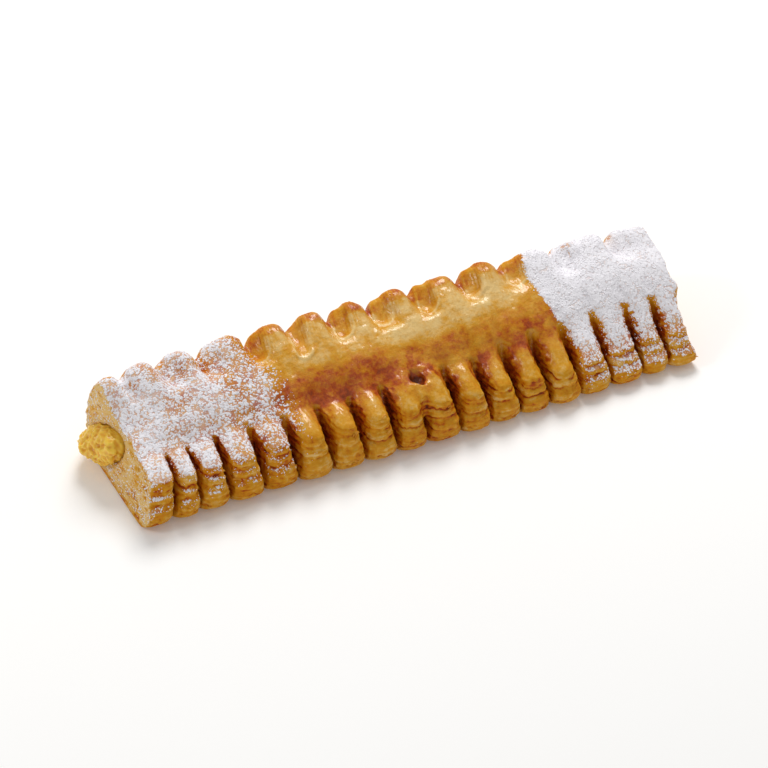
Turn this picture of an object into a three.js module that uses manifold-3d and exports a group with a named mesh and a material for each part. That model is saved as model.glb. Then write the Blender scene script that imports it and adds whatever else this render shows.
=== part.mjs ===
import * as THREE from 'three';
import Module from 'manifold-3d';
import { mergeVertices } from 'three/addons/utils/BufferGeometryUtils.js';

// A straight bar of folded puff pastry filled with custard.
// Sizes are in millimetres. X runs along the bar from the end where the custard shows most,
// Y runs from the sealed edge, which is cut into teeth, to the fold, and Z is up.

// Driving dimensions of the whole bar
const LENGTH = 240;
const FOLD_Y = 57;
const HEIGHT = 40.5;
const EDGE_LEFT = 20.5;
const EDGE_RIGHT = 15.5;
const EDGE_BOW = 1.8;

// The sealed edge: two sheets of dough, cut through into teeth
const SLITS = [12, 23.2, 36, 50.5, 64.7, 78.9, 92.5, 106.2, 119.3, 133.5, 146.8, 159.9, 173.2, 186.7,
  200.9, 215.3, 227.4];
const BRIDGED_SLIT = 8;
const SLIT_WIDE = 5.6;
const SLIT_WIDE_AT_ENDS = 3.4;
const SLIT_NARROW = 1.5;
const SLIT_END_WIDE = 3.8;
const SLIT_FLOOR_SHARE = 0.42;
const SLIT_SLOPE_LOW = -3.5;
const SLIT_SLOPE_HIGH = 1.5;
const TOOTH_LONG = 14;
const TIP_ROUND = 2.7;
const TOOTH_CROWN = 1.5;
const TOOTH_WOBBLE = 0.9;

// Outline of a tooth's tip from the floor up: distance from the edge line, share of the thickness.
// It has three tiers with soft ledges between them, and the lowest bulges out the most.
const TIP_OUTLINE = [
  [2.6, 0.0], [-0.8, 0.03], [-3.3, 0.12], [-4.4, 0.28], [-4.3, 0.45], [-3.0, 0.55],
  [-2.6, 0.6], [-2.8, 0.71], [-1.6, 0.78], [-1.7, 0.88], [-0.8, 0.98],
];
const UPPER_TIERS_BACK = 3;
const SEAM_WANDER = 0.05;
const END_SIDE_ROUND = 0.35;

// The fold: round lobes with creases between them, each widening on top into a torn pit
const CREASES = [9.4, 25.5, 42.9, 63.5, 80.9, 98.2, 115.3, 133.6, 155.2, 173.8, 196.3, 222.2];
const CREASE_DEPTH = 5;
const CREASE_HALF = 2.6;
const PIT_SHIFT = 4.6;
const PIT_LINE = 38.5;
const PIT_DEPTH = 3.4;
const PIT_WIDE = 5;
const PIT_LONG = 9;
const PIT_START = 14;
const TOP_SWELL = 0.35;

// The custard and its tunnel: an oval that leans down towards the fold, and bulges out more there
const CUSTARD_Y = 39;
const CUSTARD_Z = 12.2;
const CUSTARD_HALF_LONG = 14.5;
const CUSTARD_HALF_SHORT = 7.2;
const CUSTARD_TILT = -0.5;
const BULGE_TO_FOLD = 0.35;
const CUSTARD_BULGE = 5.2;
const CUSTARD_BULGE_FAR = 1.6;
const CUSTARD_LUMP = 0.16;
const GAP = 0.3;

// The left end leans back, more over its near part, and its top is pressed down
const LEAN = 5.5;
const FOLD_LEAN = 2;
const LEAN_RUN = 55;
const END_DIP = 7.5;
const DIP_LINE = 26;
const DIP_WIDE = 11;
const DIP_RUN = 13;
const END_FALL = 5;

// The right end: its teeth stop short, the upper sheet more, and a curl of crust stands out
const LOWER_SHORT = 1.3;
const UPPER_SHORT = 1.6;
const CURL = { y: 17, z: 25, size: 3.4, reach: 3.6 };

// The cut ends show the layers of the dough, as steps from the rim in towards the custard
const LAYER_RINGS = [
  { inset: 0.06, step: 0.1 },
  { inset: 0.12, step: -0.6 },
  { inset: 0.18, step: 0.1 },
  { inset: 0.25, step: -0.5 },
  { inset: 0.34, step: 0 },
  { inset: 0.46, step: -0.6 },
  { inset: 0.62, step: -0.2 },
];

// The raised flap that joins two teeth, with a small hole in it
const FLAP = { x: 120, y: 8, long: 9, wide: 5.5, lift: 2.4 };
const FLAP_HOLE = { x: 121.5, y: 9.5, size: 1.9, depth: 3.4 };

// Fineness of the sweep
const TOP_STEPS = 24;
const TOOTH_STATIONS = [-1, -0.62, 0, 0.62, 1];
const CUSTARD_SIDES = 26;

// Smooth ramp from 0 at the first bound to 1 at the second
function ramp(from, to, value) {
  const t = THREE.MathUtils.clamp((value - from) / (to - from), 0, 1);
  return t * t * (3 - 2 * t);
}

function mix(a, b, t) {
  return a + (b - a) * t;
}

function bell(distance, half) {
  return Math.exp(-(distance * distance) / (half * half));
}

// A fixed uneven number between -1 and 1 for the piece with this number
function uneven(number, kind) {
  const s = Math.sin(number * 12.9898 + kind * 78.233) * 43758.5453;
  return 2 * (s - Math.floor(s)) - 1;
}

// Thickness of the sealed edge, and how far it bows out from its ends to its middle
function edgeHeight(x) {
  return mix(EDGE_LEFT, EDGE_RIGHT, ramp(90, 205, x));
}

function edgeBow(x) {
  return -EDGE_BOW * Math.sin((Math.PI * x) / LENGTH);
}

function crestHeight(x) {
  const fall = END_FALL * Math.exp(-x / 6) + 3 * ramp(200, LENGTH, x);
  return HEIGHT - fall + 0.5 * Math.sin(x / 11) + 0.3 * Math.sin(x / 4.3 + 1);
}

// The section of the bar at a station as a ring of points, from the near edge of the base over the top
function section({ x, tooth }) {
  const edge = edgeHeight(x);
  const bow = edgeBow(x);
  const crest = crestHeight(x);
  const wander = SEAM_WANDER * uneven(tooth, 7);
  const setBack = UPPER_TIERS_BACK * ramp(175, 215, x);
  const tip = TIP_OUTLINE.map(([y, share]) => {
    const seam = wander * ramp(0.1, 0.5, share) * (1 - ramp(0.8, 0.97, share));
    return new THREE.Vector2(y + bow + setBack * ramp(0.45, 0.85, share), (share + seam) * edge);
  });
  const top = new THREE.SplineCurve([
    new THREE.Vector2(0.6 + bow + setBack, edge + 0.5),
    new THREE.Vector2(6 + bow * 0.6 + setBack * 0.4, mix(edge + 1.8, 23.8, 0.35)),
    new THREE.Vector2(13, 24),
    new THREE.Vector2(19.5, 29.2),
    new THREE.Vector2(27, 33.6),
    new THREE.Vector2(36, crest - 2.6),
    new THREE.Vector2(43.5, crest),
    new THREE.Vector2(49.5, crest - 3.4),
    new THREE.Vector2(FOLD_Y - 2.5, crest * 0.7),
    new THREE.Vector2(FOLD_Y, crest * 0.44),
    new THREE.Vector2(FOLD_Y - 0.8, crest * 0.18),
    new THREE.Vector2(FOLD_Y - 3.5, 0),
  ]);
  return tip.concat(top.getPoints(TOP_STEPS - 1)).map((p) => {
    const dip = END_DIP * Math.exp(-x / DIP_RUN) * bell(p.x - DIP_LINE, DIP_WIDE) * ramp(12, 22, p.y);
    return new THREE.Vector3(x, p.x, p.y - dip);
  });
}

// How far in a slit reaches at height z, further on top; the bridged one is open only under its flap
function slitReach(number, z) {
  const x = SLITS[number];
  const slope = mix(SLIT_SLOPE_LOW, SLIT_SLOPE_HIGH, ramp(3, 20, z));
  const reach = mix(12, 15, ramp(100, 185, x)) + uneven(number, 1) + slope;
  if (number !== BRIDGED_SLIT) {
    return reach;
  }
  return mix(reach, 1, ramp(9, 12, z));
}

// Places along the bar where a section is set: in a tooth, at share u of its half width, or in a slit
function stations() {
  const bounds = [0, ...SLITS, LENGTH];
  const list = [];
  for (let tooth = 0; tooth < bounds.length - 1; tooth++) {
    const middle = (bounds[tooth] + bounds[tooth + 1]) / 2;
    const half = (bounds[tooth + 1] - bounds[tooth]) / 2;
    for (const u of TOOTH_STATIONS) {
      list.push({ x: middle + u * half, tooth, middle, half, u, slit: -1 });
    }
    if (tooth < SLITS.length) {
      list.push({ x: SLITS[tooth], tooth, slit: tooth, side: -1 });
      list.push({ x: SLITS[tooth], tooth, slit: tooth, side: 1 });
    }
  }
  return list;
}

// Half of the slit's width at a point: wide on top, narrow at the floor and towards the bar's ends
function slitHalf(x, y, z) {
  const middle = ramp(24, 50, x) * (1 - ramp(176, 205, x));
  const wide = mix(SLIT_WIDE_AT_ENDS, SLIT_WIDE, middle);
  const open = mix(SLIT_NARROW, wide, ramp(3, 20, z));
  return mix(open, SLIT_END_WIDE, ramp(10, 22, y)) / 2;
}

// How far the teeth's tops fall towards their slits; the flap fills the bridged slit
function crownAt(x, y, z, reach) {
  const open = TOOTH_CROWN * (1 - bell(x - SLITS[BRIDGED_SLIT], 5));
  return open * (1 - ramp(reach, reach + 9, y)) * ramp(10, 18, z);
}

// Place of a section point in a tooth: round tip, crowned top, sides that stand off the slits
function toothPoint(station, p) {
  const { middle, half, u, tooth } = station;
  const isEnd = (tooth === 0 && u < 0) || (tooth === SLITS.length && u > 0);
  const side = isEnd ? END_SIDE_ROUND : 1;
  const nearness = 1 - ramp(TOOTH_LONG * 0.4, TOOTH_LONG, p.y);
  const round = TIP_ROUND * (1 - Math.sqrt(1 - 0.97 * u * u)) * side;
  const wobble = TOOTH_WOBBLE * uneven(tooth, 2);
  const crown = u * u * side * crownAt(station.x, p.y, p.z, TOOTH_LONG - 3);
  const stand = isEnd ? 0 : slitHalf(middle + Math.sign(u) * half, p.y, p.z);
  return new THREE.Vector3(
    middle + u * (half - stand),
    p.y + (round + wobble * ramp(0.5, 4, p.z)) * nearness,
    p.z - crown,
  );
}

// Place of a section point inside a slit: what stands before the slit's end is pushed back to it
function slitPoint(station, p) {
  const reach = slitReach(station.slit, p.z);
  const back = p.y < reach ? reach + (p.y - reach) * 0.07 : p.y;
  const fall = p.y < reach ? 0 : crownAt(station.x, p.y, p.z, reach);
  const stand = slitHalf(station.x, p.y, p.z) * SLIT_FLOOR_SHARE;
  return new THREE.Vector3(station.x + station.side * stand, back, p.z - fall);
}

// Creases between the lobes pull the fold in, and pits sink into its top
function foldRelief(v) {
  const weight = ramp(27, 41, v.y) * ramp(4, 22, v.z);
  let pull = 0;
  let sink = 0;
  CREASES.forEach((x, i) => {
    const size = 1 + 0.2 * uneven(i, 4);
    const away = Math.hypot((v.x - x - PIT_SHIFT * size) / (PIT_WIDE * size), (v.y - PIT_LINE) / PIT_LONG);
    const pit = (1 - ramp(0.25, 1.1, away)) * ramp(23, 29, v.z);
    pull += CREASE_DEPTH * (1 + 0.25 * uneven(i, 3)) * bell(v.x - x, CREASE_HALF);
    sink += PIT_DEPTH * (1 + 0.3 * uneven(i, 8)) * pit * ramp(PIT_START, 2 * PIT_START, v.x);
  });
  const inward = new THREE.Vector2(40 - v.y, 18 - v.z).normalize().multiplyScalar(pull * weight);
  return new THREE.Vector3(v.x, v.y + inward.x, v.z + inward.y - sink);
}

// Slow swells of the baked top, which is never quite even
function topRelief(v) {
  const swell = Math.sin(v.x / 9.5 + v.y / 6) + Math.sin(v.x / 5.3 - v.y / 8 + 2);
  return new THREE.Vector3(v.x, v.y, v.z + TOP_SWELL * swell * ramp(16, 26, v.z));
}

// The flap over the bridged slit stands up round its hole
function flapRelief(v) {
  const up = FLAP.lift * bell(v.x - FLAP.x, FLAP.long) * bell(v.y - FLAP.y, FLAP.wide) * ramp(10, 15, v.z);
  const hole = bell(v.x - FLAP_HOLE.x, FLAP_HOLE.size) * bell(v.y - FLAP_HOLE.y, FLAP_HOLE.size);
  return new THREE.Vector3(v.x, v.y, v.z + up - FLAP_HOLE.depth * hole * ramp(15, 20, v.z));
}

// The left end leans back as it rises, and the right end is trimmed and carries its curl
function endRelief(v) {
  const run = 1 - ramp(0, LEAN_RUN, v.x);
  const back = 1 - ramp(18, 46, v.y);
  const lean = run * run * (v.z / 22) * (LEAN * back + FOLD_LEAN * (1 - back));
  const short = LOWER_SHORT + UPPER_SHORT * ramp(6, 10, v.z);
  const trim = short * ramp(LENGTH - 8, LENGTH, v.x) * (1 - ramp(14, 30, v.y));
  const fromCurl = Math.hypot(v.y - CURL.y, v.z - CURL.z);
  const curl = CURL.reach * ramp(LENGTH - 2, LENGTH, v.x) * bell(fromCurl, CURL.size);
  return new THREE.Vector3(v.x + lean - trim + curl, v.y, v.z);
}

// Triangles that close a ring of points
function capOf(ring) {
  const flat = ring.map((v) => new THREE.Vector2(v.y, v.z));
  return THREE.ShapeUtils.triangulateShape(flat, []);
}

// A closed skin over rings of points set one after another, with both ends capped
function skin(rings) {
  const count = rings[0].length;
  const positions = rings.flat().flatMap((v) => [v.x, v.y, v.z]);
  const index = [];
  for (let s = 0; s < rings.length - 1; s++) {
    for (let i = 0; i < count; i++) {
      const a = s * count + i;
      const b = s * count + ((i + 1) % count);
      index.push(a, a + count, b, b, a + count, b + count);
    }
  }
  const last = (rings.length - 1) * count;
  for (const [a, b, c] of capOf(rings[0])) {
    index.push(a, c, b);
  }
  for (const [a, b, c] of capOf(rings[rings.length - 1])) {
    index.push(last + a, last + b, last + c);
  }
  const geometry = new THREE.BufferGeometry();
  geometry.setAttribute('position', new THREE.Float32BufferAttribute(positions, 3));
  geometry.setIndex(index);
  return geometry;
}

// The ring of points round the bar at a station, before its ends are shaped
function ringAt(station) {
  const place = station.slit < 0 ? toothPoint : slitPoint;
  return section(station).map((p) => topRelief(flapRelief(foldRelief(place(station, p)))));
}

// Layers of dough on a cut end: rings that close in on the custard and step in and out in turn
function cutFace(ring, outward) {
  return LAYER_RINGS.map(({ inset, step }) => ring.map((v) => {
    const inner = new THREE.Vector3(v.x, mix(v.y, CUSTARD_Y, inset), mix(v.z, CUSTARD_Z, inset));
    return endRelief(inner).add(new THREE.Vector3(outward * step, 0, 0));
  }));
}

function crust() {
  const rings = stations().map(ringAt);
  const left = cutFace(rings[0], -1).reverse();
  const right = cutFace(rings[rings.length - 1], 1);
  return skin([...left, ...rings.map((ring) => ring.map(endRelief)), ...right]);
}

// Rings of the custard, or with a clearance those of its tunnel
function custardRings(places, clearance) {
  return places.map(({ x, share, lump }, s) => {
    const ring = [];
    for (let i = 0; i < CUSTARD_SIDES; i++) {
      const angle = (-2 * Math.PI * i) / CUSTARD_SIDES;
      const size = share * (1 - lump * (0.5 + 0.5 * uneven(i + 31 * s, 5)));
      const long = (CUSTARD_HALF_LONG * size + clearance) * Math.cos(angle);
      const short = (CUSTARD_HALF_SHORT * size + clearance) * Math.sin(angle);
      const y = CUSTARD_Y + long * Math.cos(CUSTARD_TILT) - short * Math.sin(CUSTARD_TILT);
      const z = CUSTARD_Z + long * Math.sin(CUSTARD_TILT) + short * Math.cos(CUSTARD_TILT);
      const out = x < 0 && lump > 0 ? x * (1 + BULGE_TO_FOLD * Math.cos(angle)) : x;
      ring.push(new THREE.Vector3(out + lump * 6 * uneven(i + 17 * s, 6), y, z));
    }
    return ring;
  });
}

function custard() {
  const places = [
    { x: -CUSTARD_BULGE, share: 0.3, lump: CUSTARD_LUMP },
    { x: -CUSTARD_BULGE * 0.88, share: 0.58, lump: CUSTARD_LUMP },
    { x: -CUSTARD_BULGE * 0.6, share: 0.82, lump: CUSTARD_LUMP },
    { x: -CUSTARD_BULGE * 0.3, share: 0.97, lump: CUSTARD_LUMP },
    { x: 0, share: 1, lump: CUSTARD_LUMP * 0.4 },
    { x: 8, share: 1, lump: 0 },
    { x: LENGTH - 2, share: 1, lump: 0 },
    { x: LENGTH + CUSTARD_BULGE_FAR * 0.6, share: 0.88, lump: CUSTARD_LUMP * 0.5 },
    { x: LENGTH + CUSTARD_BULGE_FAR, share: 0.5, lump: CUSTARD_LUMP },
  ];
  return skin(custardRings(places, 0));
}

function tunnel() {
  const ends = [-3 * CUSTARD_BULGE, LENGTH + 3 * CUSTARD_BULGE];
  return skin(custardRings(ends.map((x) => ({ x, share: 1, lump: 0 })), GAP));
}

const wasm = await Module();
wasm.setup();

// A closed skin as a solid that can be cut
function solidOf(geometry) {
  const bare = mergeVertices(geometry, 1e-4);
  return new wasm.Manifold(new wasm.Mesh({
    numProp: 3,
    vertProperties: new Float32Array(bare.attributes.position.array),
    triVerts: new Uint32Array(bare.index.array),
  }));
}

function geometryOf(solid) {
  const cut = solid.getMesh();
  const geometry = new THREE.BufferGeometry();
  geometry.setAttribute('position', new THREE.BufferAttribute(cut.vertProperties, 3));
  geometry.setIndex(new THREE.BufferAttribute(cut.triVerts, 1));
  geometry.computeVertexNormals();
  return geometry;
}

function piece(name, geometry, material) {
  const mesh = new THREE.Mesh(geometry, material);
  mesh.name = name;
  return mesh;
}

const bakedCrust = new THREE.MeshStandardMaterial({ color: '#d39a45', roughness: 0.55, metalness: 0 });
const custardCream = new THREE.MeshStandardMaterial({ color: '#e3b836', roughness: 0.35, metalness: 0 });

const bar = new THREE.Group();
bar.add(piece('pastry', geometryOf(solidOf(crust()).subtract(solidOf(tunnel()))), bakedCrust));
bar.add(piece('custard', geometryOf(solidOf(custard())), custardCream));

// The origin is under the middle of the bar, where it rests
const extent = new THREE.Box3().setFromObject(bar);
const middle = extent.getCenter(new THREE.Vector3());
bar.position.set(-middle.x, -middle.y, -extent.min.z);

export default bar;
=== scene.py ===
# A straight bar of puff pastry filled with custard: glazed in the middle, dusted with sugar at both ends.

import math
import random

import bmesh
import bpy
import numpy as np
from bpy.props import FloatProperty, FloatVectorProperty, IntProperty, PointerProperty
from mathutils import Matrix, Vector, noise
from mathutils.bvhtree import BVHTree


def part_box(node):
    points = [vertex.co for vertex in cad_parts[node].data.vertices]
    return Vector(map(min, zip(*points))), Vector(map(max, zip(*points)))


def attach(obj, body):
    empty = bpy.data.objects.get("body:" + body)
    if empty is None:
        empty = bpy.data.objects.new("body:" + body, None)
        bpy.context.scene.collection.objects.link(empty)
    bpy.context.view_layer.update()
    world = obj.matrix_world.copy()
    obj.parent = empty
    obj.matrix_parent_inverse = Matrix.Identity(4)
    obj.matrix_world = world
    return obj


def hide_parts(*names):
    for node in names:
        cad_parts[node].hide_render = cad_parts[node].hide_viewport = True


bl_info = {
    "name": "Filled puff pastry bar",
    "version": (1, 0, 0),
    "blender": (4, 5, 0),
    "location": "3D View > Sidebar > Bakery",
    "description": "Dresses the bar: crust, custard, flakes and icing sugar, and sets the stage",
    "category": "Object",
}

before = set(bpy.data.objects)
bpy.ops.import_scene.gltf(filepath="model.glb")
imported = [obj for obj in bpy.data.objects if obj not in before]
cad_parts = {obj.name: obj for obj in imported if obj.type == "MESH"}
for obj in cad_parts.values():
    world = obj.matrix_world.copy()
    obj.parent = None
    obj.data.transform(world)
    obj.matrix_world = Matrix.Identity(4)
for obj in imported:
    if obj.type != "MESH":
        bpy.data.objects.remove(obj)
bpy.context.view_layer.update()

MM = 0.001

# Where the bar lies in the frame: "along" runs from its left end, "across" from its toothed edge. The
# crust starts a margin to the left of zero.
PASTRY_LOW, PASTRY_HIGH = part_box("pastry")
BAR_LENGTH = 240.0
FOLD_ACROSS = 57.0
LEFT_MARGIN = 0.0001
START = Vector((PASTRY_LOW.x + LEFT_MARGIN, PASTRY_HIGH.y - FOLD_ACROSS * MM, 0.0))

# The custard's run through the bar, an oval, in millimetres and with its tilt in radians
CUSTARD_ACROSS = 39.0
CUSTARD_UP = 12.2
CUSTARD_HALF_LONG = 14.5
CUSTARD_HALF_SHORT = 7.2
CUSTARD_TILT = -0.5

# Slits between the teeth and creases of the fold, counted along the bar, and the toothed edge's sizes
SLITS = (12, 23.2, 36, 50.5, 64.7, 78.9, 92.5, 106.2, 119.3, 133.5, 146.8, 159.9, 173.2, 186.7,
         200.9, 215.3, 227.4)
CREASES = (9.4, 25.5, 42.9, 63.5, 80.9, 98.2, 115.3, 133.6, 155.2, 173.8, 196.3, 222.2)
TOOTH_DEPTH = 14.0
EDGE_LEFT = 20.5
EDGE_RIGHT = 15.5

# Seams between the tiers of a tooth's tip, as shares of its height, and how they wander
TIP_SEAMS = (0.58, 0.79)
SEAM_WANDER = 0.05

# Heights of the scorched line near a tooth's foot and of its pale middle tier, as shares too
SCORCH_SHARE = 0.17
MIDDLE_TIER = 0.67

# Bounds between which one part of the bar passes into the next, in millimetres: in from a cut end, in
# from the toothed edge, up to the top of the fold, and along to the right end of the glaze
END_FADE = (4, 9)
TIP_FADE = (3, 7)
FOLD_TOP = (23, 28)
GLAZE_RIGHT = (182, 186)

# How far in from the cut ends the tunnel is seen, and its edge as a share of the custard's size
SEEN_INSIDE = 2.5
TUNNEL_EDGE = 1.1

# Where the crust's edges melt more, in millimetres: high up behind the teeth, and higher at their roots
SOFT_BEHIND = 18
SOFT_UP = 6
ROOTS_BEHIND = 10
ROOTS_UP = 13
MORE_MELT = 5

# Up to where the base counts as hidden, and over what height the relief fades in above it
BASE_UP = 0.3
BASE_FADE = 1.2

# How far in the custard is seen at the left end and at the right end, how yellow it is, and how much
# painted shade deepens its yellow in hollows
CUSTARD_SEEN_LEFT = 4
CUSTARD_SEEN_RIGHT = 1
YOLK_SHARE = 0.35
YOLK_SHADE_IN_HOLLOWS = 2.6

# Scoop-shaped pits beside the creases of the fold: along, front end, half width, strength
SCOOPS = (
    (28.8, 37.0, 2.3, 0.8),
    (67.2, 33.5, 3.4, 0.7),
    (84.1, 28.0, 3.3, 1.0),
    (102.9, 33.0, 3.3, 1.0),
    (120.2, 34.0, 3.4, 0.9),
    (139.6, 33.0, 3.5, 0.8),
    (160.6, 34.0, 3.4, 0.8),
    (179.2, 34.5, 3.8, 0.6),
    (201.0, 38.5, 3.2, 0.4),
)
SCOOP_SLANT = 0.17
SCOOP_MIDDLE = 40.0

# The flap that joins two teeth: where its hole is, how wide its ring and its hole are
HOLE_ALONG = 120.0
HOLE_ACROSS = 9.3
RING_HALF = 6.2
HOLE_HALF = 3.9

# Relief of the crust's skin: heights and depths in millimetres
WALL_LUMP = 0.45
WRINKLE = 0.08
FLAP_RISE = 1.1
HOLE_DEPTH = 2.8
SEAM_DEPTH = 0.5
LOBE_RISE = 1.1
RIM_HEIGHT = 0.4
SCOOP_DEPTH = 0.8
STRIPE_HEIGHT = 0.16
STRIPE_PITCH = 1.25

# What each cause adds to the browning, which runs from 0 for pale dough to 1 for dark crust; corners, slit
# walls, hollows and the flap's hole get painted shade
BROWN_PLAIN = 0.3
BROWN_CLOUDS = 0.08
BROWN_CAP = 0.31
BROWN_BAND = 0.12
BROWN_UNDER_SUGAR = 0.26
BROWN_RED = 0.48
BROWN_FLAP = 0.2
# Painted shade in the flap's hole
SHADE_IN_HOLE = 0.5
BROWN_MOST_ON_TOP = 0.68
# Painted shade in corners that little light reaches
SHADE_IN_CORNERS = 0.14
# Painted shade on the walls of the slits between the teeth
SHADE_ON_SLIT_WALLS = 0.26
# Painted shade in hollows, and a little painted light on ridges
SHADE_IN_HOLLOWS = 1.1
BROWN_TOOTH = 0.1
BROWN_TOOTH_VARIES = 0.07
BROWN_SHOULDER = 0.12
BROWN_SEAM = 0.3
BROWN_FOOT = 0.4

# What others take off it; the rim term is painted highlight, and the flat strip and the pale spots are
# partly painted sheen
# Paler bake and painted sheen on the flat strip in front of the caps
PALE_AND_SHEEN_STRIP = 0.12
# Pale spots that are partly painted sheen
PALE_AND_SHEEN_SPOT = 0.32
# Painted highlight along the thin rims of the scoops
HIGHLIGHT_ON_RIMS = 0.2
PALE_TIER = 0.1
PALE_CUT = 0.34

# Where across the bar the brown band behind the teeth, the caps of the fold and the pale strip lie; the
# strip is partly painted sheen
BAND_ACROSS = 14.5
CAP_ACROSS = 40.6
FLAT_ACROSS = 37.5

# How thickly icing sugar lies, from 0 to 1, and the least that carries clumps
SUGAR_LEFT = 0.7
SUGAR_RIGHT = 0.98
SUGAR_ON_STEEP = 0.2
SUGAR_ON_CUT = 0.36
SUGAR_LEAST = 0.12

# Seeds of the scattered clumps and flakes
CLUMP_SEED = 7
FLAKE_SEED = 12

# Where the camera and the lamps point, where the lamps stand and how wide they are, in metres, and the
# left lamp's power as a share of the key lamp's
LOOK_AT = Vector((-0.0049, -0.0028, 0.015))
KEY_PLACE = (0.45, 0.75, 1.15)
KEY_WIDE = 0.7
LEFT_PLACE = (-0.9, 0.1, 0.8)
LEFT_WIDE = 0.3
LEFT_SHARE = 0.14

# The floor's radius in metres, and how far it lies below the bar in millimetres
FLOOR_RADIUS = 3.0
FLOOR_DROP = 0.2

# How the light that reaches each place is probed: every which vertex, how far, how often the results
# are spread, and how far above the surface it starts, in millimetres
OPEN_STEP = 4
OPEN_REACH = 14 * MM
OPEN_BLEND = 5
OPEN_LIFT = 0.3

# Most triangles that one piece may have, and the share of its faces left where it is hidden
MOST_TRIANGLES = 192000
HIDDEN_RATIO = 0.1

# Height in the stack of sheets that the attribute "stack" reaches at 1, in millimetres
STACK_FULL = 50.0

# Baking marks on top: along, across, half length, half width, strength
RED_PATCHES = (
    (90.0, 17.5, 27.0, 7.0, 0.85),
    (100.0, 11.0, 22.0, 5.0, 0.5),
    (140.0, 20.0, 30.0, 3.5, 0.4),
    (169.0, 17.0, 17.0, 7.0, 0.6),
    (70.5, 17.8, 4.0, 2.6, 1.0),
    (77.0, 21.0, 6.0, 2.4, 0.6),
    (81.0, 15.0, 7.0, 3.0, 0.8),
    (95.0, 19.5, 9.0, 2.8, 1.0),
    (95.0, 16.4, 4.0, 1.5, 0.8),
    (108.0, 19.0, 8.0, 2.0, 0.7),
    (121.0, 11.0, 9.0, 6.5, 0.7),
    # This mark over the flap's hole is partly red bake, partly painted shade in the hole
    (119.5, 9.3, 3.2, 2.6, 1.2),
    (125.5, 20.5, 9.0, 2.0, 0.55),
    (137.0, 20.0, 6.0, 2.2, 0.45),
    (150.0, 12.0, 4.0, 2.6, 0.7),
    (153.0, 21.5, 5.0, 1.6, 0.4),
    (161.0, 13.5, 3.0, 2.0, 0.6),
    (165.5, 19.0, 5.0, 2.4, 0.5),
    (174.5, 17.6, 6.0, 3.2, 0.95),
    (181.0, 22.0, 3.0, 5.0, 0.5),
)
BARE_PATCHES = (
    (9.0, 47.0, 4.0, 2.5, 0.5),
    (27.5, 47.0, 3.0, 3.5, 0.4),
    (44.0, 41.0, 1.5, 8.0, 0.35),
    (61.0, 45.0, 4.0, 5.0, 0.2),
    (197.5, 49.0, 4.0, 2.2, 0.55),
    (204.0, 45.0, 3.0, 2.0, 0.35),
    (222.5, 51.0, 2.5, 3.0, 0.5),
)
# Pale spots on the glaze: partly paler bake, partly a painted broad sheen
PALE_AND_SHEEN_PATCHES = (
    (84.0, 26.5, 7.0, 3.4, 0.7),
    (86.0, 22.8, 3.0, 1.6, 0.5),
    (100.5, 15.2, 5.0, 2.2, 0.5),
    (104.0, 30.0, 12.0, 5.0, 0.5),
    (125.0, 28.0, 16.0, 5.0, 1.0),
    (133.0, 24.0, 8.0, 2.6, 0.6),
    (150.0, 29.0, 10.0, 6.0, 0.8),
    (163.0, 32.0, 9.0, 5.0, 1.0),
    (172.0, 30.0, 6.0, 4.0, 0.6),
)


def linear(code):
    """Linear red, green and blue of an sRGB hex colour."""
    channels = [int(code[i:i + 2], 16) / 255 for i in (1, 3, 5)]
    return tuple(c / 12.92 if c <= 0.04045 else ((c + 0.055) / 1.055) ** 2.4 for c in channels)


def ramp(low, high, value):
    """Smooth ramp from 0 at low to 1 at high, for numbers and arrays."""
    t = np.clip((value - low) / (high - low), 0.0, 1.0)
    return t * t * (3.0 - 2.0 * t)


def bell(distance, half):
    """Smooth hill: 1 in the middle, falling off on both sides."""
    return np.exp(-((distance / half) ** 2))


class CrustLook(bpy.types.PropertyGroup):
    """Sizes and colours of the baked crust."""

    skin_step: FloatProperty(
        name="Skin step", description="Size of the faces of the crust's skin",
        default=0.56 * MM, unit="LENGTH", precision=5,
    )
    melt: IntProperty(
        name="Melt", description="Passes of smoothing that round the crust's edges", default=2,
    )
    blister: FloatProperty(
        name="Blister height", description="Height of the soft blisters on the crust",
        default=0.3 * MM, unit="LENGTH", precision=5,
    )
    layer_depth: FloatProperty(
        name="Layer depth", description="Depth of the grooves between the layers",
        default=0.34 * MM, unit="LENGTH", precision=5,
    )
    dough: FloatVectorProperty(
        name="Dough", description="Pale dough that is baked least",
        subtype="COLOR", size=3, min=0, max=1, default=linear("#EAC47C"),
    )
    gold: FloatVectorProperty(
        name="Gold", description="Crust with the usual bake",
        subtype="COLOR", size=3, min=0, max=1, default=linear("#DC9D22"),
    )
    amber: FloatVectorProperty(
        name="Amber", description="Well baked crust",
        subtype="COLOR", size=3, min=0, max=1, default=linear("#D28408"),
    )
    chestnut: FloatVectorProperty(
        name="Chestnut", description="Strongly browned crust",
        subtype="COLOR", size=3, min=0, max=1, default=linear("#B44A0A"),
    )
    # The darkest stop is reached mostly where painted shade falls deep in the slits
    dark: FloatVectorProperty(
        name="Dark", description="Crust deep in the slits",
        subtype="COLOR", size=3, min=0, max=1, default=linear("#6A2A08"),
    )


class CustardLook(bpy.types.PropertyGroup):
    """Sizes and colours of the custard."""

    skin_step: FloatProperty(
        name="Skin step", description="Size of the faces of the custard's skin",
        default=0.5 * MM, unit="LENGTH", precision=5,
    )
    lump: FloatProperty(
        name="Lump height", description="Height of the lumps on the custard that shows",
        default=1.1 * MM, unit="LENGTH", precision=5,
    )
    # Cream and yolk follow the depth of the hollows, so they paint shade into the custard
    cream: FloatVectorProperty(
        name="Cream", description="Custard on its ridges",
        subtype="COLOR", size=3, min=0, max=1, default=linear("#FCD04C"),
    )
    yolk: FloatVectorProperty(
        name="Yolk", description="Custard in its hollows",
        subtype="COLOR", size=3, min=0, max=1, default=linear("#DD8E0C"),
    )


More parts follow.
